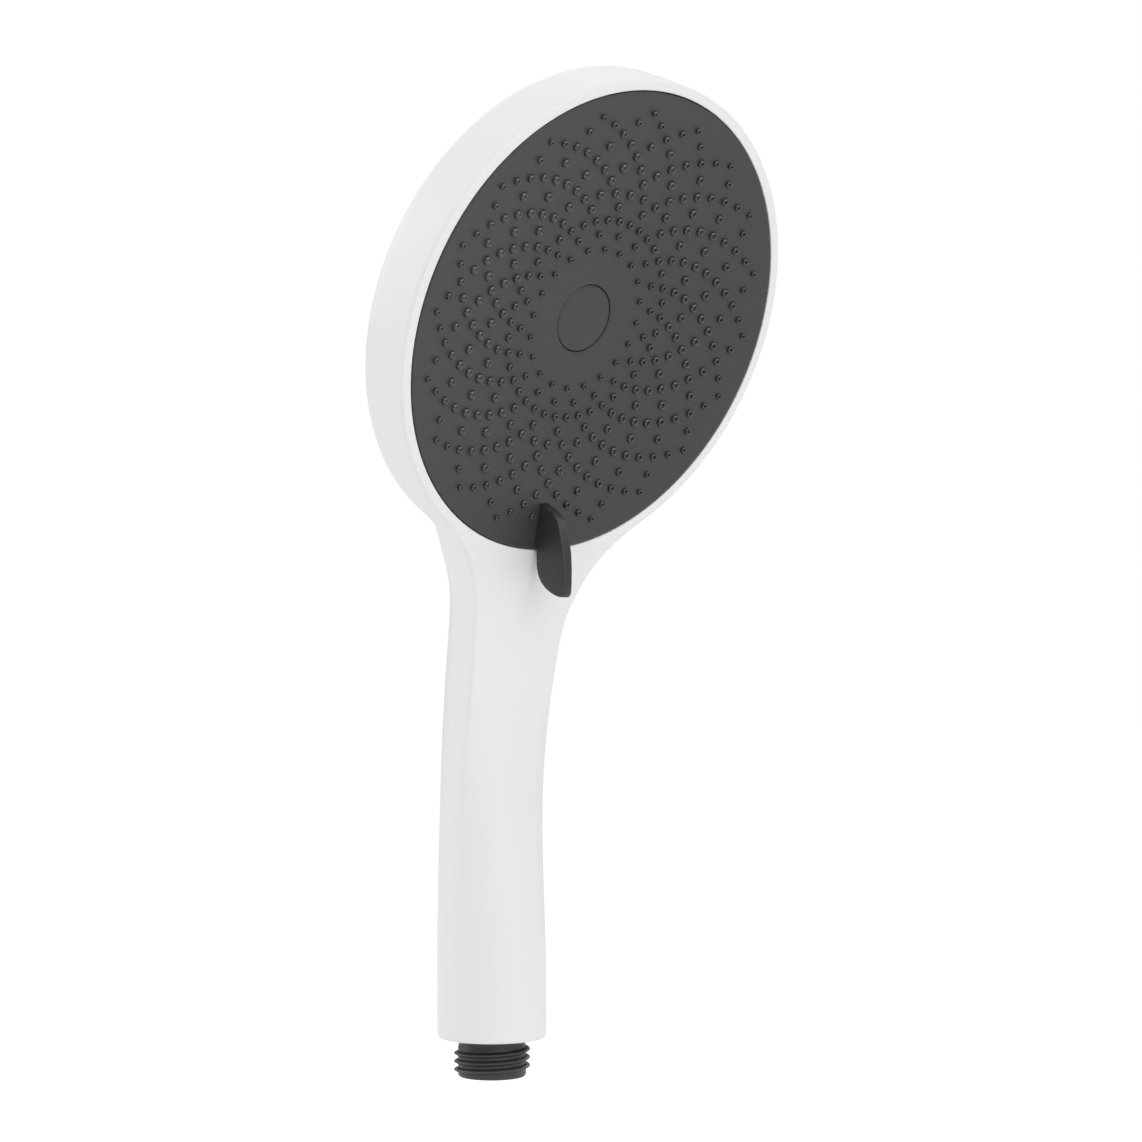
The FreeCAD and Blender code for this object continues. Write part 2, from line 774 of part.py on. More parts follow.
def flow_limiter():
    low = inlet_bore_length + filter_thickness
    body = ring(limiter_radius, limiter_bore, low, low + limiter_length)
    groove_low = low + (limiter_length - limiter_groove_width) / 2
    floor = limiter_radius - limiter_groove_depth
    return body.cut(ring(limiter_radius + 1, floor, groove_low, groove_low + limiter_groove_width))


def limiter_o_ring():
    middle = inlet_bore_length + filter_thickness + limiter_length / 2
    half = limiter_groove_width / 2 - piece_gap
    outer = limiter_radius + limiter_gap - ring_squeeze
    return ring(outer, limiter_radius - limiter_groove_depth + ring_squeeze, middle - half, middle + half)


# --- All pieces -------------------------------------------------------------------

head_pieces = {
    "spray_plate": spray_plate,
    "nozzle_mat": nozzle_mat,
    "rotor": rotor,
    "chamber_seal": chamber_seal,
    "plate_screws": plate_screws,
    "mode_lever": mode_lever,
    "lever_screw": lever_screw,
    "centre_cap": centre_cap,
    "manifold": manifold,
    "manifold_cover": manifold_cover,
    "manifold_screws": manifold_screws,
    "port_seal": port_seal,
    "port_spring": port_spring,
    "detent_ball": detent_ball,
    "detent_spring": detent_spring,
    "rotor_seal": rotor_seal,
    "centre_washer": centre_washer,
    "centre_screw": centre_screw,
}


def other_pieces():
    lower, upper = tube_groove_places()
    return {
        "handset_shell": handset_shell(),
        "waterway_tube": waterway_tube(),
        "tube_lower_o_ring": tube_o_ring(lower),
        "tube_upper_o_ring": tube_o_ring(upper),
        "inlet_spigot": inlet_spigot(),
        "spigot_o_ring": spigot_o_ring(),
        "inlet_filter": inlet_filter(),
        "flow_limiter": flow_limiter(),
        "limiter_o_ring": limiter_o_ring(),
    }


os.makedirs("parts", exist_ok=True)
pieces = {name: in_head(make()) for name, make in head_pieces.items()}
pieces.update(other_pieces())
for name, shape in pieces.items():
    shape.exportStep("parts/" + name + ".step")
    print(name, "valid" if shape.isValid() else "NOT VALID", len(shape.Solids), round(shape.Volume))
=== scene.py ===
import bmesh
import bpy
import json
import math
from mathutils import Euler, Matrix, Vector


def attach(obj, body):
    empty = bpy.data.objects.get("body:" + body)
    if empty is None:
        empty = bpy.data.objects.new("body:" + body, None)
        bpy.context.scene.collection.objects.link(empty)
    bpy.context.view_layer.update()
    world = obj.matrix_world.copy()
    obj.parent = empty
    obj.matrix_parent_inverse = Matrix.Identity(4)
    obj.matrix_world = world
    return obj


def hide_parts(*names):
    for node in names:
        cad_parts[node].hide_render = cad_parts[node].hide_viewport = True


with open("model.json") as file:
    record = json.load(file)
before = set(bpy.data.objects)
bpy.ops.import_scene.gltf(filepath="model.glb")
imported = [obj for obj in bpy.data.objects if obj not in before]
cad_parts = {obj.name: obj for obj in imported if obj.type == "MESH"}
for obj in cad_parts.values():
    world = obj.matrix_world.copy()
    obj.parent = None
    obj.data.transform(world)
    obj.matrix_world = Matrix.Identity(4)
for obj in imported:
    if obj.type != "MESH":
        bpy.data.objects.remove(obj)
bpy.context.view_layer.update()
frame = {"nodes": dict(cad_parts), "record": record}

# Handheld shower head, standing upright on its inlet.  +Z runs up the handle and the
# spray side faces -Y.  Sizes in this file are millimetres; a piece's mesh is brought to
# metres when it is finished.
nodes = frame["nodes"]


# --- Camera ---------------------------------------------------------------------------
# A long lens, level with the middle of the handset and a little under a metre off,
# 45 degrees round to the left of the spray side.
camera_place = Vector((-604.33, -632.87, 138.7))
camera_azimuth = 45.1
focal_length = 100.3

camera = bpy.data.objects.new("camera", bpy.data.cameras.new("camera"))
bpy.context.scene.collection.objects.link(camera)
camera.location = camera_place / 1000
camera.rotation_euler = Euler((math.radians(90), 0, math.radians(-camera_azimuth)))
camera.data.lens = focal_length
camera.data.sensor_width = 36.0
camera.data.clip_start = 0.01
camera.data.clip_end = 50
bpy.context.scene.camera = camera
bpy.context.scene.view_settings.view_transform = "Standard"


# --- Studio ---------------------------------------------------------------------------
# A pale floor and an even white surround.  Large soft lamps stand in front, behind on
# the left, and on the right; the surround fills in the rest.
class Socket:
    """A node's output, with arithmetic that adds Math nodes."""

    def __init__(self, tree, output):
        self.tree = tree
        self.output = output

    def maths(self, operation, *values):
        return self.tree.node("ShaderNodeMath", {"operation": operation}, dict(enumerate(values)))

    def __add__(self, other):
        return self.maths("ADD", self, other)

    def __mul__(self, other):
        return self.maths("MULTIPLY", self, other)


class Tree:
    """A material's or the world's nodes."""

    def __init__(self, owner):
        owner.use_nodes = True
        self.nodes = owner.node_tree.nodes
        self.links = owner.node_tree.links
        self.nodes.clear()

    def node(self, kind, settings=None, inputs=None, output=0):
        """Adds a node: its settings first, then a value or a link for each named input."""
        made = self.nodes.new(kind)
        for name, value in (settings or {}).items():
            if name == "stops":
                ramp = made.color_ramp.elements
                while len(ramp) < len(value):
                    ramp.new(0.5)
                for element, (position, colour) in zip(ramp, value):
                    element.position = position
                    element.color = (*colour, 1.0)
            else:
                setattr(made, name, value)
        for name, value in (inputs or {}).items():
            if isinstance(value, Socket):
                self.links.new(value.output, made.inputs[name])
            else:
                made.inputs[name].default_value = value
        return Socket(self, made.outputs[output]) if made.outputs else made

    def surface(self, shader, kind="ShaderNodeOutputMaterial"):
        self.node(kind, None, {"Surface": shader})


def ray_is(tree, *kinds):
    """1 where a ray of one of these kinds looks at something."""
    path = tree.nodes.new("ShaderNodeLightPath")
    found = Socket(tree, path.outputs[kinds[0]])
    for kind in kinds[1:]:
        found = found.maths("MAXIMUM", found, Socket(tree, path.outputs[kind]))
    return found


world = bpy.data.worlds.new("surround")
bpy.context.scene.world = world
surround = Tree(world)
fill_strength = 0.72
fill = surround.node("ShaderNodeBackground", None, {"Color": (1, 1, 1, 1), "Strength": fill_strength})
white = surround.node("ShaderNodeBackground", None, {"Color": (1, 1, 1, 1), "Strength": 1.0})
dusk = surround.node("ShaderNodeBackground", None, {"Color": (1, 1, 1, 1), "Strength": 0.3})
sky = surround.node("ShaderNodeBackground", None, {"Color": (1, 1, 1, 1), "Strength": 1.5})
height = surround.node("ShaderNodeSeparateXYZ", None, {0: surround.node("ShaderNodeTexCoord")}, 2)
rise = surround.node("ShaderNodeMapRange", None, {"Value": height, "From Min": 0.15, "From Max": 0.7})
mirrored = surround.node("ShaderNodeMixShader", None, {0: rise, 1: dusk, 2: sky})
plain = surround.node("ShaderNodeMixShader", None,
                      {0: ray_is(surround, "Is Glossy Ray"), 1: fill, 2: mirrored})
direct = ray_is(surround, "Is Camera Ray", "Is Transmission Ray")
surround.surface(surround.node("ShaderNodeMixShader", None, {0: direct, 1: plain, 2: white}),
                 "ShaderNodeOutputWorld")

floor_depth = 140.0           # below the inlet, as the handset is held clear of it
floor_size = 9.0              # metres
sheet = bmesh.new()
bmesh.ops.create_grid(sheet, x_segments=1, y_segments=1, size=floor_size / 2)
bmesh.ops.translate(sheet, verts=sheet.verts, vec=(0, 0, -floor_depth / 1000))
floor_mesh = bpy.data.meshes.new("floor")
sheet.to_mesh(floor_mesh)
sheet.free()
floor = bpy.data.objects.new("floor", floor_mesh)
bpy.context.scene.collection.objects.link(floor)
floor_paint = bpy.data.materials.new("floor_paint")
paper = Tree(floor_paint)
matt = paper.node("ShaderNodeBsdfDiffuse", None, {"Color": (0.93, 0.93, 0.93, 1)})
none = paper.node("ShaderNodeEmission", None, {"Color": (1, 1, 1, 1), "Strength": 0.0})
glow = paper.node("ShaderNodeEmission", None, {"Color": (1, 1, 1, 1), "Strength": 0.34})
lit = paper.node("ShaderNodeMixShader", None, {0: ray_is(paper, "Is Camera Ray"), 1: none, 2: glow})
floor_mesh.materials.append(floor_paint)
paper.surface(paper.node("ShaderNodeAddShader", None, {0: matt, 1: lit}))


def lamp(name, azimuth, elevation, distance, size, watts):
    """Square lamp aimed at the middle of the handset; azimuth 0 is in front, 90 on the left."""
    light = bpy.data.lights.new(name, "AREA")
    light.size = size
    light.energy = watts
    stand = bpy.data.objects.new(name, light)
    bpy.context.scene.collection.objects.link(stand)
    turn = Euler((math.radians(90 - elevation), 0, math.radians(-azimuth)))
    stand.rotation_euler = turn
    stand.location = Vector((0, 0, 0.14)) + turn.to_matrix() @ Vector((0, 0, distance))


lamp("front_lamp", 8, 25, 1.6, 1.2, 6.5)
lamp("side_lamp", 150, 20, 1.8, 1.2, 8)
lamp("right_lamp", -100, 20, 1.8, 1.2, 3)


# --- Casing ---------------------------------------------------------------------------
# The head and the handle are one white moulding of satin ABS.  A flat rim surrounds the
# spray face; its outer edge runs on down the neck as a soft corner that fades out.
face_reach = 41.3             # from the handle's axis to the centre of the face
face_height = 203.9           # from the inlet's end to the centre of the face
face_tilt = 21.3              # lean of the face from the handle's axis, degrees
handle_wall = 2.6
head_place = (Matrix.Translation((0, -face_reach, face_height))
              @ Matrix.Rotation(math.radians(90 + face_tilt), 4, "X"))
metres = Matrix.Scale(0.001, 4)
segments = 48
swell = 1 / (2 / 3 + math.cos(2 * math.pi / segments) / 3)   # a smoothed cage shrinks by this
neck_angle = 30.0             # the neck leaves this much of the head, each side of the foot
join_radius = 45.0            # where the neck's back runs out on the head's back

# Rows of the head, from the opening over the rim and the band to the middle of the back
outer_rows = ((64.0, 0.0), (65.4, 0.0), (66.95, 0.0), (66.95, -1.5), (66.87, -6.0), (66.78, -10.5),
              (66.68, -13.8), (66.5, -16.6), (63.2, -17.8), (56.0, -19.4), (45.0, -21.4),
              (30.0, -23.4), (15.0, -24.6), (0.0, -25.0))
inner_rows = ((64.0, -0.5), (64.0, -1.2), (64.0, -2.4), (64.0, -4.0), (64.0, -7.0), (64.0, -10.0),
              (64.0, -13.0), (64.0, -15.2), (61.5, -15.8), (55.0, -17.1), (45.0, -18.9),
              (30.0, -20.9), (15.0, -22.2), (0.0, -22.6))
corner_row = 2                # the row whose edge runs on down the neck

# Sections from the head's back to the inlet: distance below the face's centre or height,
# then half width, front, corner, widest place, back, and how full the back is
sections = (
    ("below", 36.0, 38.0, -0.2, -0.12, 4.0, 22.2, 2.0),
    ("below", 45.0, 37.4, -0.2, -0.12, 4.0, 23.2, 2.1),
    ("below", 54.0, 35.6, -0.1, -0.06, 4.0, 23.8, 2.3),
    ("below", 62.0, 28.4, -0.15, -0.1, 4.0, 23.8, 2.6),
    ("below", 70.0, 22.3, -0.4, -0.25, 4.0, 23.0, 2.7),
    ("below", 79.0, 18.45, -1.8, -0.6, 3.0, 20.6, 2.35),
    ("below", 88.0, 16.6, -3.7, -1.45, 2.6, 18.4, 2.2),
    ("height", 105.0, 15.35, -11.5, -7.9, -5.0, 11.9, 2.15),
    ("height", 90.0, 15.3, -11.3, -5.7, -2.5, 13.1, 2.05),
    ("height", 76.0, 15.3, -11.9, -4.4, -1.0, 13.5, 2.0),
    ("height", 62.0, 15.2, -13.0, -3.6, 0.0, 14.0, 2.0),
    ("height", 46.0, 15.1, -14.2, -3.2, 0.2, 14.9, 2.0),
    ("height", 30.0, 15.05, -15.0, -3.1, 0.05, 15.1, 2.0),
    ("height", 10.6, 15.05, -15.05, -3.1, 0.0, 15.05, 2.0),
)
# Where each loop of the neck and handle lies among those sections: at its front, at the
# corner, and at its back
loops = ((4.15, 3.3, 1.9), (4.55, 3.85, 2.7), (4.95, 4.4, 3.5), (5.4, 5.0, 4.3), (5.85, 5.55, 5.1),
         (6.3, 6.1, 5.9), (6.75, 6.65, 6.6), (7.2, 7.2, 7.2), (7.8, 7.8, 7.8), (8.5, 8.5, 8.5),
         (9.3, 9.3, 9.3), (10.2, 10.2, 10.2), (11.1, 11.1, 11.1), (12.0, 12.0, 12.0),
         (12.8, 12.8, 12.8))
front_steps = 4               # edges from the front's middle to the corner
side_shares = (0.0, 0.05, 0.12, 0.2, 0.28, 0.36, 0.45, 0.54, 0.63, 0.73, 0.82, 0.91, 1.0)
half_loop = front_steps + len(side_shares) - 1


def section_row(section):
    """Numbers of a section: the origin's depth and height, the lean, then its sizes."""
    kind, place, *sizes = section
    if kind == "height":
        return [0.0, place, 0.0, *sizes]
    lean = math.radians(face_tilt)
    return [place * math.sin(lean) - face_reach, face_height - place * math.cos(lean), lean, *sizes]


def section_between(position):
    """Sizes at a fractional place in the list, on a smooth curve through its rows."""
    rows = [section_row(section) for section in sections]
    first = min(int(position), len(rows) - 2)
    share = position - first
    a, b, c, d = [rows[min(max(first + step, 0), len(rows) - 1)] for step in (-1, 0, 1, 2)]
    mixed = []
    for p, q, r, s in zip(a, b, c, d):
        curve = (2 * q + (r - p) * share + (2 * p - 5 * q + 4 * r - s) * share ** 2
                 + (3 * q - p - 3 * r + s) * share ** 3)
        mixed.append(curve / 2)
    return mixed


def section_point(step, loop, inset):
    """Point of a loop, counted from the front's middle over the right side to the back."""
    side = 1 if step <= half_loop else -1
    step = min(step, 2 * half_loop - step)
    at_front, at_corner, at_back = loop
    if step <= front_steps:
        share = step / front_steps
        position = at_front + (at_corner - at_front) * share ** 2
    else:
        share = side_shares[step - front_steps]
        position = at_corner + (at_back - at_corner) * share
    depth_zero, height_zero, lean, half, front, corner, widest, back, full = section_between(position)
    half -= inset
    front += inset
    corner += inset / 2
    back -= inset
    power = 2 / full
    least = -math.asin(((widest - corner) / (back - widest)) ** (1 / power))
    if step <= front_steps:
        end = half * math.cos(least) ** power
        sag = max(abs(corner - front), 0.02)
        bow = (end ** 2 + sag ** 2) / (2 * sag)
        angle = math.atan2(end, bow - sag) * (share + 0.1 * math.sin(math.pi * share) * share)
        across = bow * math.sin(angle)
        depth = front + math.copysign(bow * (1 - math.cos(angle)), corner - front)
    else:
        angle = least + (math.pi / 2 - least) * share
        across = half * math.cos(angle) ** power if share < 1 else 0.0
        depth = widest + (back - widest) * abs(math.sin(angle)) ** power * math.copysign(1, math.sin(angle))
    return Vector((side * across,
                   depth_zero + depth * math.cos(lean),
                   height_zero + depth * math.sin(lean)))


def drawn_out(points):
    """A closed row of cage points, moved so that the smoothed curve runs through them."""
    last = len(points)
    return [point + (2 * point - points[i - 1] - points[(i + 1) % last]) / 6
            for i, point in enumerate(points)]


def skin(rows, inset, end_rings):
    """One side of the casing's wall: the head is spun, and the handle drawn out of it."""
    bm = bmesh.new()
    order = bm.verts.layers.int.new("order")
    spots = [bm.verts.new((radius * swell, 0, height)) for radius, height in rows]
    profile = [bm.edges.new(pair) for pair in zip(spots, spots[1:])]
    bmesh.ops.spin(bm, geom=spots + profile, cent=(0, 0, 0), axis=(0, 0, 1),
                   angle=2 * math.pi, steps=segments, use_merge=True)
    bmesh.ops.remove_doubles(bm, verts=bm.verts, dist=0.001)
    opened = []
    for face in bm.faces:
        middle = face.calc_center_median()
        off = math.degrees(math.atan2(abs(middle.x), -middle.y))
        behind = middle.z < rows[corner_row][1] - 0.01
        if off < neck_angle and behind and middle.xy.length > join_radius:
            opened.append(face)
    bmesh.ops.delete(bm, geom=opened, context="FACES")
    rim = [edge for edge in bm.edges if edge.is_boundary
           and not all(abs(v.co.z - rows[0][1]) < 0.01 and abs(v.co.xy.length - rows[0][0] * swell) < 0.01
                       for v in edge.verts)]
    loop_verts = list({v for edge in rim for v in edge.verts})
    middle = (rows[corner_row][1] + min(v.co.z for v in loop_verts)) / 2
    loop_verts.sort(key=lambda v: math.atan2(v.co.x, v.co.z - middle) % (2 * math.pi - 1e-4))
    for number, vert in enumerate(loop_verts):
        vert[order] = number
    bmesh.ops.transform(bm, matrix=head_place, verts=bm.verts)
    rings = [drawn_out([section_point(step, loop, inset) for step in range(2 * half_loop)])
             for loop in loops]
    for radius, height in end_rings:
        turns = [math.atan2(point.x, -point.y) for point in
                 [section_point(step, loops[-1], inset) for step in range(2 * half_loop)]]
        rings.append(drawn_out([Vector((radius * math.sin(a), -radius * math.cos(a), height))
                                for a in turns]))
    for ring in rings:
        grown = bmesh.ops.extrude_edge_only(bm, edges=rim)["geom"]
        rim = [item for item in grown if isinstance(item, bmesh.types.BMEdge)]
        rim = [edge for edge in rim if edge.is_boundary]
        for vert in {v for edge in rim for v in edge.verts}:
            vert.co = ring[vert[order]]
    return bm


outer_ends = ((15.05, 12.4), (15.05, 11.5), (14.7, 10.85), (14.2, 10.6), (13.4, 10.6), (12.6, 10.6))
inner_ends = ((12.45, 24.0), (12.05, 22.4), (12.05, 18.0), (12.05, 12.0), (12.05, 10.9))


def to_object(bm, name, body, place=None):
    """Brings a finished mesh to metres and gives it its body."""
    if place:
        bmesh.ops.transform(bm, matrix=place, verts=bm.verts)
    bmesh.ops.transform(bm, matrix=metres, verts=bm.verts)
    mesh = bpy.data.meshes.new(name)
    bm.to_mesh(mesh)
    bm.free()
    mesh.shade_smooth()
    piece = bpy.data.objects.new(name, mesh)
    bpy.context.scene.collection.objects.link(piece)
    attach(piece, body)
    return piece


outside = skin(outer_rows, 0.0, outer_ends)
inside = skin(inner_rows, handle_wall, inner_ends)
inner_mesh = bpy.data.meshes.new("casing_inside")
inside.to_mesh(inner_mesh)
inside.free()
outside.from_mesh(inner_mesh)
bpy.data.meshes.remove(inner_mesh)
# The skins meet at the handle's end and round the face's opening, by height
for low, high in ((0, 20), (140, 300)):
    ends = [edge for edge in outside.edges if edge.is_boundary
            and low < edge.verts[0].co.z < high]
    bmesh.ops.bridge_loops(outside, edges=ends)
bmesh.ops.recalc_face_normals(outside, faces=outside.faces)
casing = to_object(outside, "casing", "handset")
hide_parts("handset_shell")
smooth = casing.modifiers.new("smooth", "SUBSURF")
smooth.levels = smooth.render_levels = 2
view_layer = bpy.context.evaluated_depsgraph_get()
cage = casing.data
casing.data = bpy.data.meshes.new_from_object(casing.evaluated_get(view_layer))
casing.modifiers.clear()
bpy.data.meshes.remove(cage)


def plastic(name, colour, roughness, grain_scale, grain_depth, mottle=0.02, coat=0.0, shine=0.5):
    """Moulded plastic: a fine spark grain, and a slight wander in tone and gloss."""
    material = bpy.data.materials.new(name)
    tree = Tree(material)
    place = tree.node("ShaderNodeTexCoord", output=3)
    cloud = tree.node("ShaderNodeTexNoise", None, {"Vector": place, "Scale": 18.0, "Detail": 3.0})
    grain = tree.node("ShaderNodeTexNoise", None, {"Vector": place, "Scale": grain_scale, "Detail": 2.0})
    dark = tuple(channel * (1 - mottle) for channel in colour)
    light = tuple(channel * (1 + mottle) for channel in colour)
    tone = tree.node("ShaderNodeValToRGB", {"stops": ((0.3, dark), (0.7, light))}, {"Fac": cloud})
    bump = tree.node("ShaderNodeBump", None,
                     {"Strength": 0.25, "Distance": grain_depth / 1000, "Height": grain})
    shader = tree.node("ShaderNodeBsdfPrincipled", None, {
        "Base Color": tone, "Roughness": cloud * 0.06 + (roughness - 0.03), "Normal": bump,
        "Coat Weight": coat, "Coat Roughness": 0.12, "Specular IOR Level": shine})
    tree.surface(shader)
    return material


white_abs = plastic("white_abs_finish", (0.84, 0.84, 0.845), 0.38, 2600, 0.01, 0.006)
casing.data.materials.append(white_abs)


# --- Inlet ----------------------------------------------------------------------------
# A black glass-filled nylon spigot screwed and welded into the foot of the handle, with a
# G1/2 thread for the hose.
crest = 10.48
root = 9.35
thread_pitch = 2.25
thread_start = 0.95
thread_turns = 3.1
core_rows = ((7.2, 4.4), (7.2, 0.35), (7.5, 0.0), (8.9, 0.0), (9.2, 0.25), (root, 0.6), (root, 8.2),
             (9.2, 8.5), (9.2, 10.9), (12.0, 10.9), (12.0, 15.9), (10.9, 15.9), (10.9, 17.5),
             (12.0, 17.5), (12.0, 22.0), (5.1, 22.0), (5.1, 15.0), (3.8, 15.0), (3.8, 8.6),
             (6.0, 8.6), (6.0, 5.4), (7.0, 5.4), (7.0, 4.4), (7.2, 4.4))


def spun(rows, steps=96):
    """Closed or open profile of (radius, height) turned about Z."""
    bm = bmesh.new()
    spots = [bm.verts.new((radius, 0, height)) for radius, height in rows]
    profile = [bm.edges.new(pair) for pair in zip(spots, spots[1:])]
    bmesh.ops.spin(bm, geom=spots + profile, cent=(0, 0, 0), axis=(0, 0, 1),
                   angle=2 * math.pi, steps=steps, use_merge=True)
    bmesh.ops.remove_doubles(bm, verts=bm.verts, dist=0.001)
    bmesh.ops.recalc_face_normals(bm, faces=bm.faces)
    return bm


def helix(bm, start, turns, steps):
    """Sweeps the thread's ridge round the core and closes both its ends."""
    ridge = ((root - 0.15, -0.85), (crest - 0.12, -0.22), (crest, 0.0), (crest - 0.12, 0.22),
             (root - 0.15, 0.85))
    tooth = [bm.verts.new((radius, 0, start + height)) for radius, height in ridge]
    edges = [bm.edges.new(pair) for pair in zip(tooth, tooth[1:] + tooth[:1])]
    bm.faces.new(tooth)
    grown = bmesh.ops.spin(bm, geom=tooth + edges, cent=(0, 0, 0), axis=(0, 0, 1),
                           dvec=(0, 0, thread_pitch * turns / steps),
                           angle=2 * math.pi * turns, steps=steps)
    last = [item for item in grown["geom_last"] if isinstance(item, bmesh.types.BMEdge)]
    bmesh.ops.edgeloop_fill(bm, edges=last)


inlet = spun(core_rows)
helix(inlet, thread_start, thread_turns, 150)
bmesh.ops.recalc_face_normals(inlet, faces=inlet.faces)
inlet_piece = to_object(inlet, "inlet", "handset")
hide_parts("inlet_spigot")
black_nylon = plastic("black_nylon_finish", (0.035, 0.035, 0.037), 0.42, 1800, 0.02, 0.08)
inlet_piece.data.materials.append(black_nylon)


# --- Spray face -----------------------------------------------------------------------
# A dished dark grey ABS plate that turns in the casing's opening, with soft nozzles
# moulded through it in twelve rings.
plate_radius = 63.7
dish_depth = 6.2
sphere = (plate_radius ** 2 + dish_depth ** 2) / (2 * dish_depth)


def dish(radius):
    return sphere - dish_depth - math.sqrt(sphere ** 2 - radius ** 2)


cap_hole = 9.45
face_rows = [(cap_hole, -9.5), (cap_hole, dish(cap_hole) - 0.25), (cap_hole + 0.07, dish(cap_hole) - 0.07),
             (cap_hole + 0.25, dish(cap_hole))]
face_rows += [(radius, dish(radius)) for radius in range(11, 63, 2)]
face_rows += [(62.9, dish(62.9)), (63.3, dish(63.3) - 0.01), (63.6, -0.18), (plate_radius, -0.45),
              (plate_radius, -9.0), (61.5, -9.0), (61.5, -2.6), (40.0, -5.8), (11.45, -8.1), (11.45, -10.4),
              (8.45, -10.4), (8.45, -9.5), (cap_hole, -9.5)]
face = spun(face_rows, 160)
face_plate = to_object(face, "face_plate", "spray_head", head_place)
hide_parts("spray_plate")
dark_abs = plastic("dark_abs_finish", (0.0445, 0.0445, 0.046), 0.45, 2400, 0.015, 0.03)
face_plate.data.materials.append(dark_abs)

nozzle_rings = 12
nozzle_sectors = 20
nozzle_sides = 10
nozzle_radius = 1.35
nozzle_least = 0.62           # share of that radius on the innermost and outermost rings
first_ring = 19.5
ring_step = 4.17
ring_shrink = 0.0616          # each step is shorter than the one before by twice this
lever_inner = 51.3
lever_outer = 62.6
lever_width = 3.4


def nozzle_places():
    """(x, y, ring radius, base radius) of each nozzle; the rings thicken in the middle."""
    places = []
    for ring in range(nozzle_rings):
        radius = first_ring + ring_step * ring - ring_shrink * ring ** 2
        double = ring > 0 and ring % 2 == 0
        offset = 4.5 if double else (9.0 if ring % 4 == 1 else 0.0)
        count = nozzle_sectors * (2 if double else 1)
        swelling = math.sin(math.pi * ring / (nozzle_rings - 1))
        base = nozzle_radius * (nozzle_least + (1 - nozzle_least) * swelling)
        for number in range(count):
            angle = math.radians(90 + offset + number * 360 / count)
            x, y = radius * math.cos(angle), radius * math.sin(angle)
            if not (abs(x) < lever_width / 2 + base and -lever_outer < y < -lever_inner):
                places.append((x, y, radius, base))
    return places


def nozzle_mesh():
    """Low soft-lipped spout of unit base radius; its foot is sunk in the plate."""
    bm = bmesh.new()
    rows = ((1.1, -0.3), (1.05, 0.06), (0.92, 0.54), (0.77, 0.9), (0.61, 0.98), (0.47, 0.82), (0.38, -0.2))
    loops = []
    for size, height in rows:
        ring = bmesh.ops.create_circle(bm, segments=nozzle_sides, radius=size,
                                       matrix=Matrix.Translation((0, 0, height)))
        loops.append(list(dict.fromkeys(edge for vert in ring["verts"] for edge in vert.link_edges)))
    for low, high in zip(loops, loops[1:]):
        bmesh.ops.bridge_loops(bm, edges=low + high)
    for end in (loops[0], loops[-1]):
        bmesh.ops.edgeloop_fill(bm, edges=end)
    bmesh.ops.recalc_face_normals(bm, faces=bm.faces)
    return bm


def nozzle_stand(x, y, radius, base):
    """Places a nozzle on the dish, square to it and at its own width."""
    foot = Vector((x, y, dish(radius)))
    out = (Vector((0, 0, sphere - dish_depth)) - foot).normalized()
    lean = Vector((0, 0, 1)).rotation_difference(out).to_matrix().to_4x4()
    return Matrix.Translation(foot) @ lean @ Matrix.Diagonal((base, base, 1, 1))


nozzle_unit = bpy.data.meshes.new("nozzle_unit")
unit_bm = nozzle_mesh()
unit_bm.to_mesh(nozzle_unit)
unit_bm.free()
nozzle_bm = bmesh.new()
for place in nozzle_places():
    count = len(nozzle_bm.verts)
    nozzle_bm.from_mesh(nozzle_unit)
    nozzle_bm.verts.ensure_lookup_table()
    bmesh.ops.transform(nozzle_bm, verts=nozzle_bm.verts[count:], matrix=nozzle_stand(*place))
bpy.data.meshes.remove(nozzle_unit)
nozzles = to_object(nozzle_bm, "nozzles", "spray_head", head_place)
soft_black = plastic("soft_nozzle_finish", (0.022, 0.022, 0.023), 0.2, 1800, 0.004, 0.05, 0.6, 0.8)
nozzles.data.materials.append(soft_black)


# --- Centre cap -----------------------------------------------------------------------
# A small disc of the same dark ABS that snaps in over the centre screw.
cap_rows = ((0.0, -6.2), (4.0, -6.2), (8.6, -6.2), (9.05, -6.25), (9.25, -6.42), (9.3, -6.7), (9.3, -7.4),
            (9.2, -7.5), (9.2, -9.0), (8.1, -9.0), (8.1, -7.4), (0.0, -7.4))
cap = to_object(spun(cap_rows), "snap_cap", "spray_head", head_place)
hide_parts("centre_cap")
cap.data.materials.append(dark_abs)


# --- Lever ----------------------------------------------------------------------------
# A thin upright fin of dark ABS that turns the face.  Its ridge climbs outward to a blunt
# tip, and it is screwed on from behind through its foot.
fin = ((51.2, -2.3), (51.5, 0.5), (52.2, 3.6), (53.4, 6.0), (56.5, 8.2), (60.5, 10.8), (64.8, 12.75),
       (68.8, 14.2), (70.9, 14.75), (72.0, 14.3), (72.45, 12.8), (72.5, 10.4), (72.15, 7.9), (71.2, 5.6),
       (69.7, 3.7), (67.6, 2.3), (65.2, 1.3), (63.2, 0.5), (62.4, -0.6))


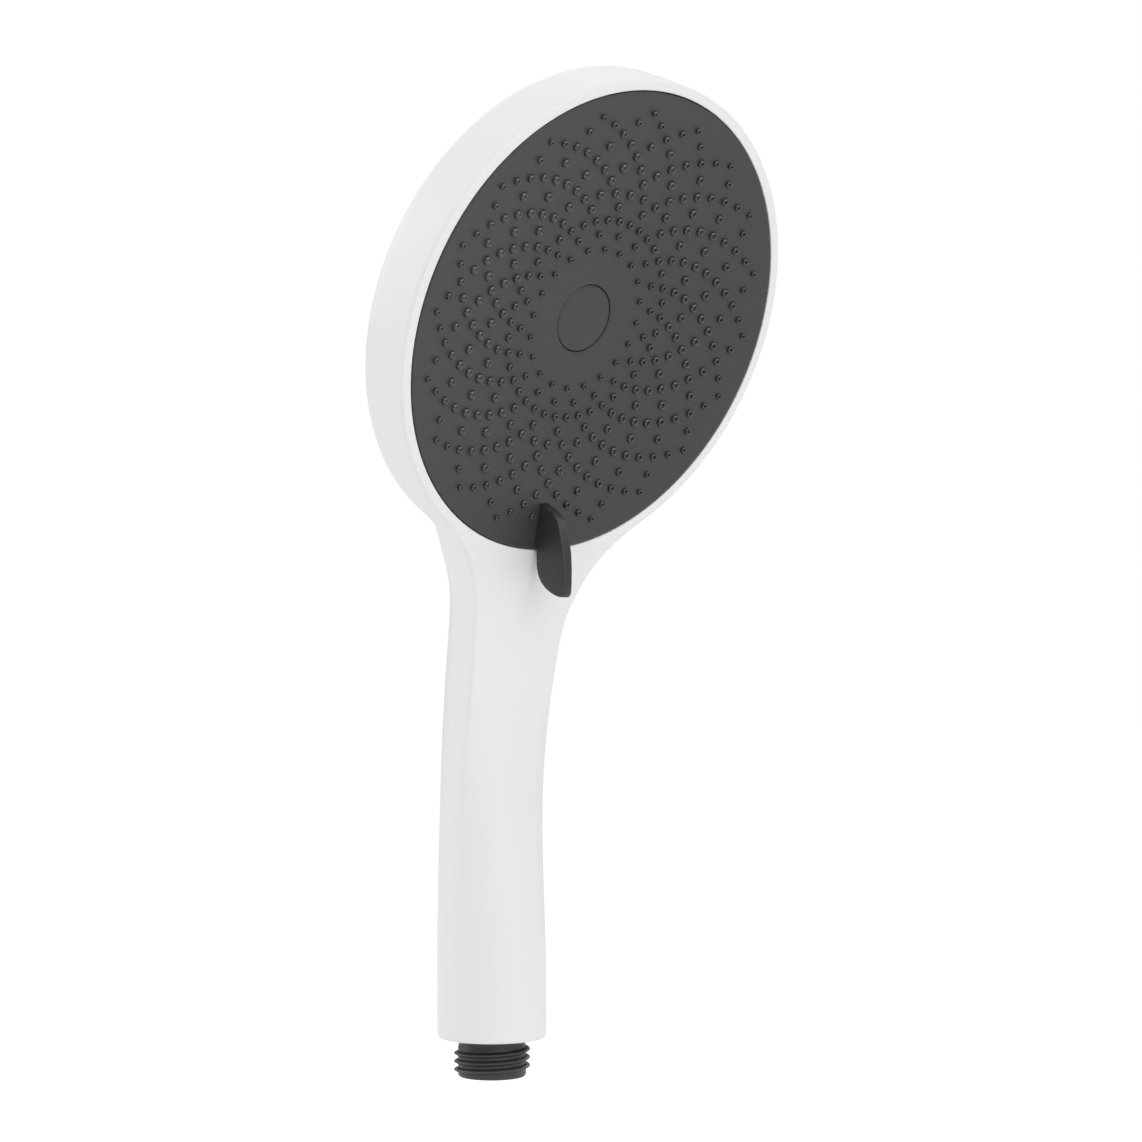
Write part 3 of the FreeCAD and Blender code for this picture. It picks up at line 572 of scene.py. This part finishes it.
def lever_mesh():
    bm = bmesh.new()
    spots = [bm.verts.new((-lever_width / 2, -out, height)) for out, height in fin]
    side = bm.faces.new(spots)
    grown = bmesh.ops.extrude_face_region(bm, geom=[side])["geom"]
    moved = [item for item in grown if isinstance(item, bmesh.types.BMVert)]
    bmesh.ops.translate(bm, verts=moved, vec=(lever_width, 0, 0))
    bmesh.ops.recalc_face_normals(bm, faces=bm.faces)
    rims = [edge for edge in bm.edges if abs(edge.verts[0].co.x - edge.verts[1].co.x) < 0.01]
    bmesh.ops.bevel(bm, geom=rims, offset=0.55, offset_type="OFFSET", affect="EDGES", segments=3,
                    profile=0.5, material=-1)
    return bm


lever = to_object(lever_mesh(), "fin_lever", "spray_head", head_place)
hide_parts("mode_lever")
# The fin is the plate's dark ABS, but its colour is set darker than the plate's: painted shade standing for
# the shade on its flank.
fin_abs_painted_shade = plastic("fin_finish_painted_shade", (0.0305, 0.0305, 0.032), 0.42, 2400, 0.012, 0.03)
lever.data.materials.append(fin_abs_painted_shade)


# --- Inner pieces ---------------------------------------------------------------------
# Natural acetal waterway parts, black seals and stainless steel fasteners, all as the
# solids have them.
def steel(name, colour, roughness):
    """Drawn stainless steel with fine streaks along the part."""
    material = bpy.data.materials.new(name)
    tree = Tree(material)
    place = tree.node("ShaderNodeTexCoord", output=3)
    streak = tree.node("ShaderNodeTexNoise", None, {"Vector": place, "Scale": 900.0, "Detail": 4.0})
    dark = tuple(channel * 0.9 for channel in colour)
    tone = tree.node("ShaderNodeValToRGB", {"stops": ((0.3, dark), (0.7, colour))}, {"Fac": streak})
    bump = tree.node("ShaderNodeBump", None, {"Strength": 0.2, "Distance": 0.00002, "Height": streak})
    shader = tree.node("ShaderNodeBsdfPrincipled", None, {
        "Base Color": tone, "Roughness": streak * 0.15 + (roughness - 0.07), "Normal": bump,
        "Metallic": 1.0})
    tree.surface(shader)
    return material


def paint(node, material):
    """Gives a CAD node's own surface a material."""
    mesh = nodes[node].data
    mesh.materials.clear()
    mesh.materials.append(material)


acetal = plastic("acetal_finish", (0.36, 0.36, 0.37), 0.4, 1500, 0.02, 0.03)
seal_rubber = plastic("seal_finish", (0.03, 0.03, 0.03), 0.6, 1500, 0.03, 0.08)
mat_silicone = plastic("mat_finish", (0.07, 0.07, 0.075), 0.5, 1500, 0.03, 0.05)
stainless = steel("stainless_finish", (0.62, 0.62, 0.61), 0.3)
finishes = {"grey_plastic": acetal, "rubber": seal_rubber, "silicone": mat_silicone, "steel": stainless,
            "white_abs": white_abs, "dark_grey_plastic": dark_abs, "black_plastic": black_nylon}
for row in frame["record"]["subparts"]:
    paint(row["node"], finishes[row["material_slot"]])
